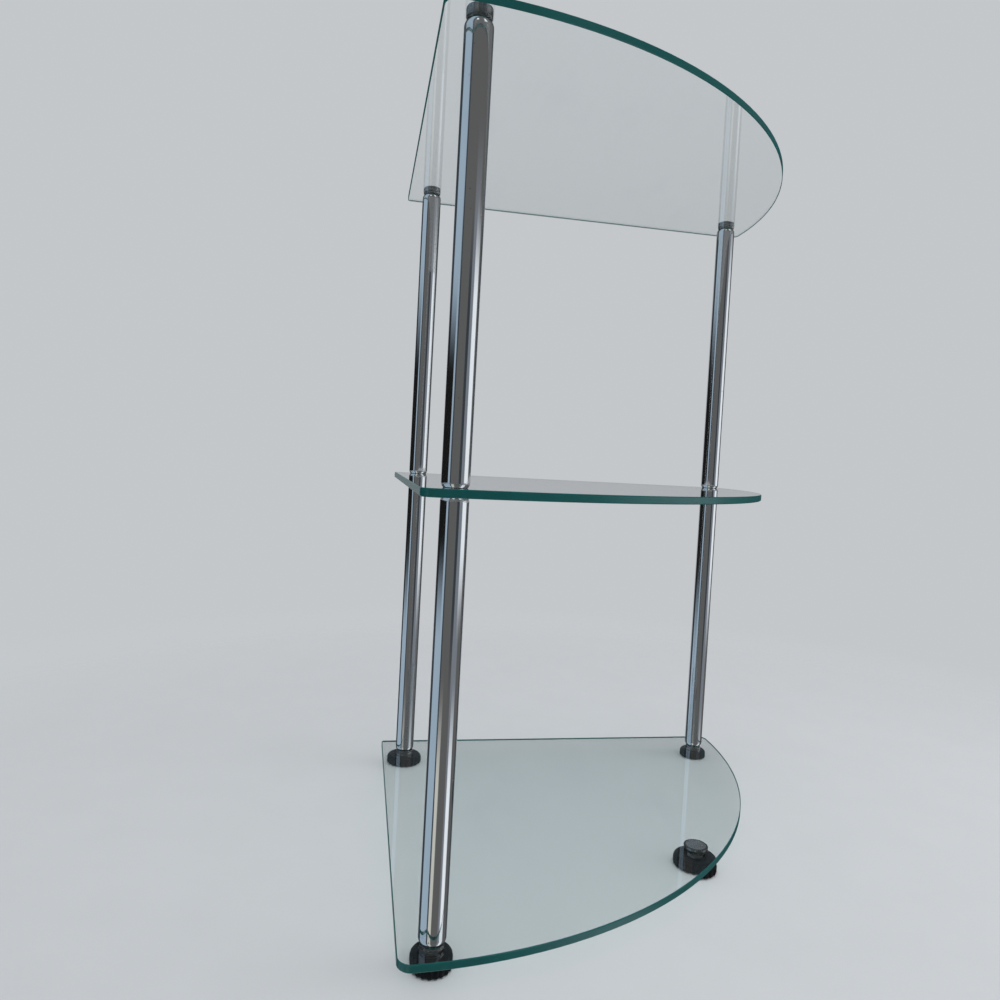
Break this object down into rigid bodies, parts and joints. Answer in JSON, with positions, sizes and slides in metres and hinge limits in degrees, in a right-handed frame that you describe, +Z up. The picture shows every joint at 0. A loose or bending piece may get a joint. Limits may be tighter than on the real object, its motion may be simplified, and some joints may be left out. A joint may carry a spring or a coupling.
{
  "type": "glass corner shelf unit",
  "caption": "Free-standing corner shelf unit: quarter-round clear glass shelves on chrome tube posts, with black fluted hand-turned levelling feet.",
  "frame": {"origin": "on the floor under the middle of the square footprint that the shelves fill", "axes": "+Z up; +Y towards the wall behind the long back edge, -X towards the wall beside the left edge; the curved front faces +X and -Y"},
  "size_m": [0.3999, 0.3999, 0.652],
  "materials": {
    "glass": "clear float glass, polished edges",
    "chrome": "bright chrome plate",
    "cap_chrome": "dull chrome plate",
    "zinc_steel": "zinc plated",
    "grey_plastic": "smoke grey, moulded",
    "black_plastic": "moulded, satin",
    "rubber": "matt"
  },
  "bodies": {
    "frame": {"bottom_shelf_glass": "glass", "bottom_shelf_bushes": "grey_plastic", "middle_shelf_glass": "glass", "middle_shelf_bushes": "grey_plastic", "top_shelf_glass": "glass", "top_shelf_bushes": "grey_plastic", "corner_lower_tube": "chrome", "corner_lower_tube_bottom_plug": "zinc_steel", "corner_lower_tube_top_plug": "zinc_steel", "corner_upper_tube": "chrome", "corner_upper_tube_bottom_plug": "zinc_steel", "corner_upper_tube_top_plug": "zinc_steel", "corner_foot_stud": "zinc_steel", "corner_middle_stud": "zinc_steel", "corner_top_stud": "zinc_steel", "corner_top_cap": "cap_chrome", "right_lower_tube": "chrome", "right_lower_tube_bottom_plug": "zinc_steel", "right_lower_tube_top_plug": "zinc_steel", "right_upper_tube": "chrome", "right_upper_tube_bottom_plug": "zinc_steel", "right_upper_tube_top_plug": "zinc_steel", "right_foot_stud": "zinc_steel", "right_middle_stud": "zinc_steel", "right_top_stud": "zinc_steel", "right_top_cap": "cap_chrome", "front_lower_tube": "chrome", "front_lower_tube_bottom_plug": "zinc_steel", "front_lower_tube_top_plug": "zinc_steel", "front_upper_tube": "chrome", "front_upper_tube_bottom_plug": "zinc_steel", "front_upper_tube_top_plug": "zinc_steel", "front_foot_stud": "zinc_steel", "front_middle_stud": "zinc_steel", "front_top_stud": "zinc_steel", "front_top_cap": "cap_chrome", "corner_clamp_nut": "zinc_steel", "right_clamp_nut": "zinc_steel", "front_clamp_nut": "zinc_steel", "outer_clamp_nut": "zinc_steel", "outer_foot_stud": "zinc_steel", "outer_foot_cap": "cap_chrome"},
    "corner_pad": {"corner_foot_pad": "rubber"},
    "corner_knob": {"corner_foot_knob": "black_plastic", "corner_foot_nut": "zinc_steel"},
    "right_pad": {"right_foot_pad": "rubber"},
    "right_knob": {"right_foot_knob": "black_plastic", "right_foot_nut": "zinc_steel"},
    "front_pad": {"front_foot_pad": "rubber"},
    "front_knob": {"front_foot_knob": "black_plastic", "front_foot_nut": "zinc_steel"},
    "outer_pad": {"outer_foot_pad": "rubber"},
    "outer_knob": {"outer_foot_knob": "black_plastic", "outer_foot_nut": "zinc_steel"}
  },
  "joints": [
    {"name": "corner_foot_travel", "type": "slide", "parent": "frame", "child": "corner_pad", "axis": [0, 0, -1], "range_m": [0, 0.0025]},
    {"name": "corner_foot_turn", "type": "hinge", "parent": "corner_pad", "child": "corner_knob", "pos_m": [-0.175, 0.175, 0.006], "axis": [0, 0, -1], "range_deg": [0, 720]},
    {"name": "right_foot_travel", "type": "slide", "parent": "frame", "child": "right_pad", "axis": [0, 0, -1], "range_m": [0, 0.0025]},
    {"name": "right_foot_turn", "type": "hinge", "parent": "right_pad", "child": "right_knob", "pos_m": [0.175, 0.175, 0.006], "axis": [0, 0, -1], "range_deg": [0, 720]},
    {"name": "front_foot_travel", "type": "slide", "parent": "frame", "child": "front_pad", "axis": [0, 0, -1], "range_m": [0, 0.0025]},
    {"name": "front_foot_turn", "type": "hinge", "parent": "front_pad", "child": "front_knob", "pos_m": [-0.175, -0.175, 0.006], "axis": [0, 0, -1], "range_deg": [0, 720]},
    {"name": "outer_foot_travel", "type": "slide", "parent": "frame", "child": "outer_pad", "axis": [0, 0, -1], "range_m": [0, 0.0025]},
    {"name": "outer_foot_turn", "type": "hinge", "parent": "outer_pad", "child": "outer_knob", "pos_m": [0.06799, -0.06799, 0.006], "axis": [0, 0, -1], "range_deg": [0, 720]}
  ],
  "couplings": [
    {"joint": "corner_foot_travel", "follows": "corner_foot_turn", "m_per_rad": 0.00019894},
    {"joint": "right_foot_travel", "follows": "right_foot_turn", "m_per_rad": 0.00019894},
    {"joint": "front_foot_travel", "follows": "front_foot_turn", "m_per_rad": 0.00019894},
    {"joint": "outer_foot_travel", "follows": "outer_foot_turn", "m_per_rad": 0.00019894}
  ]
}
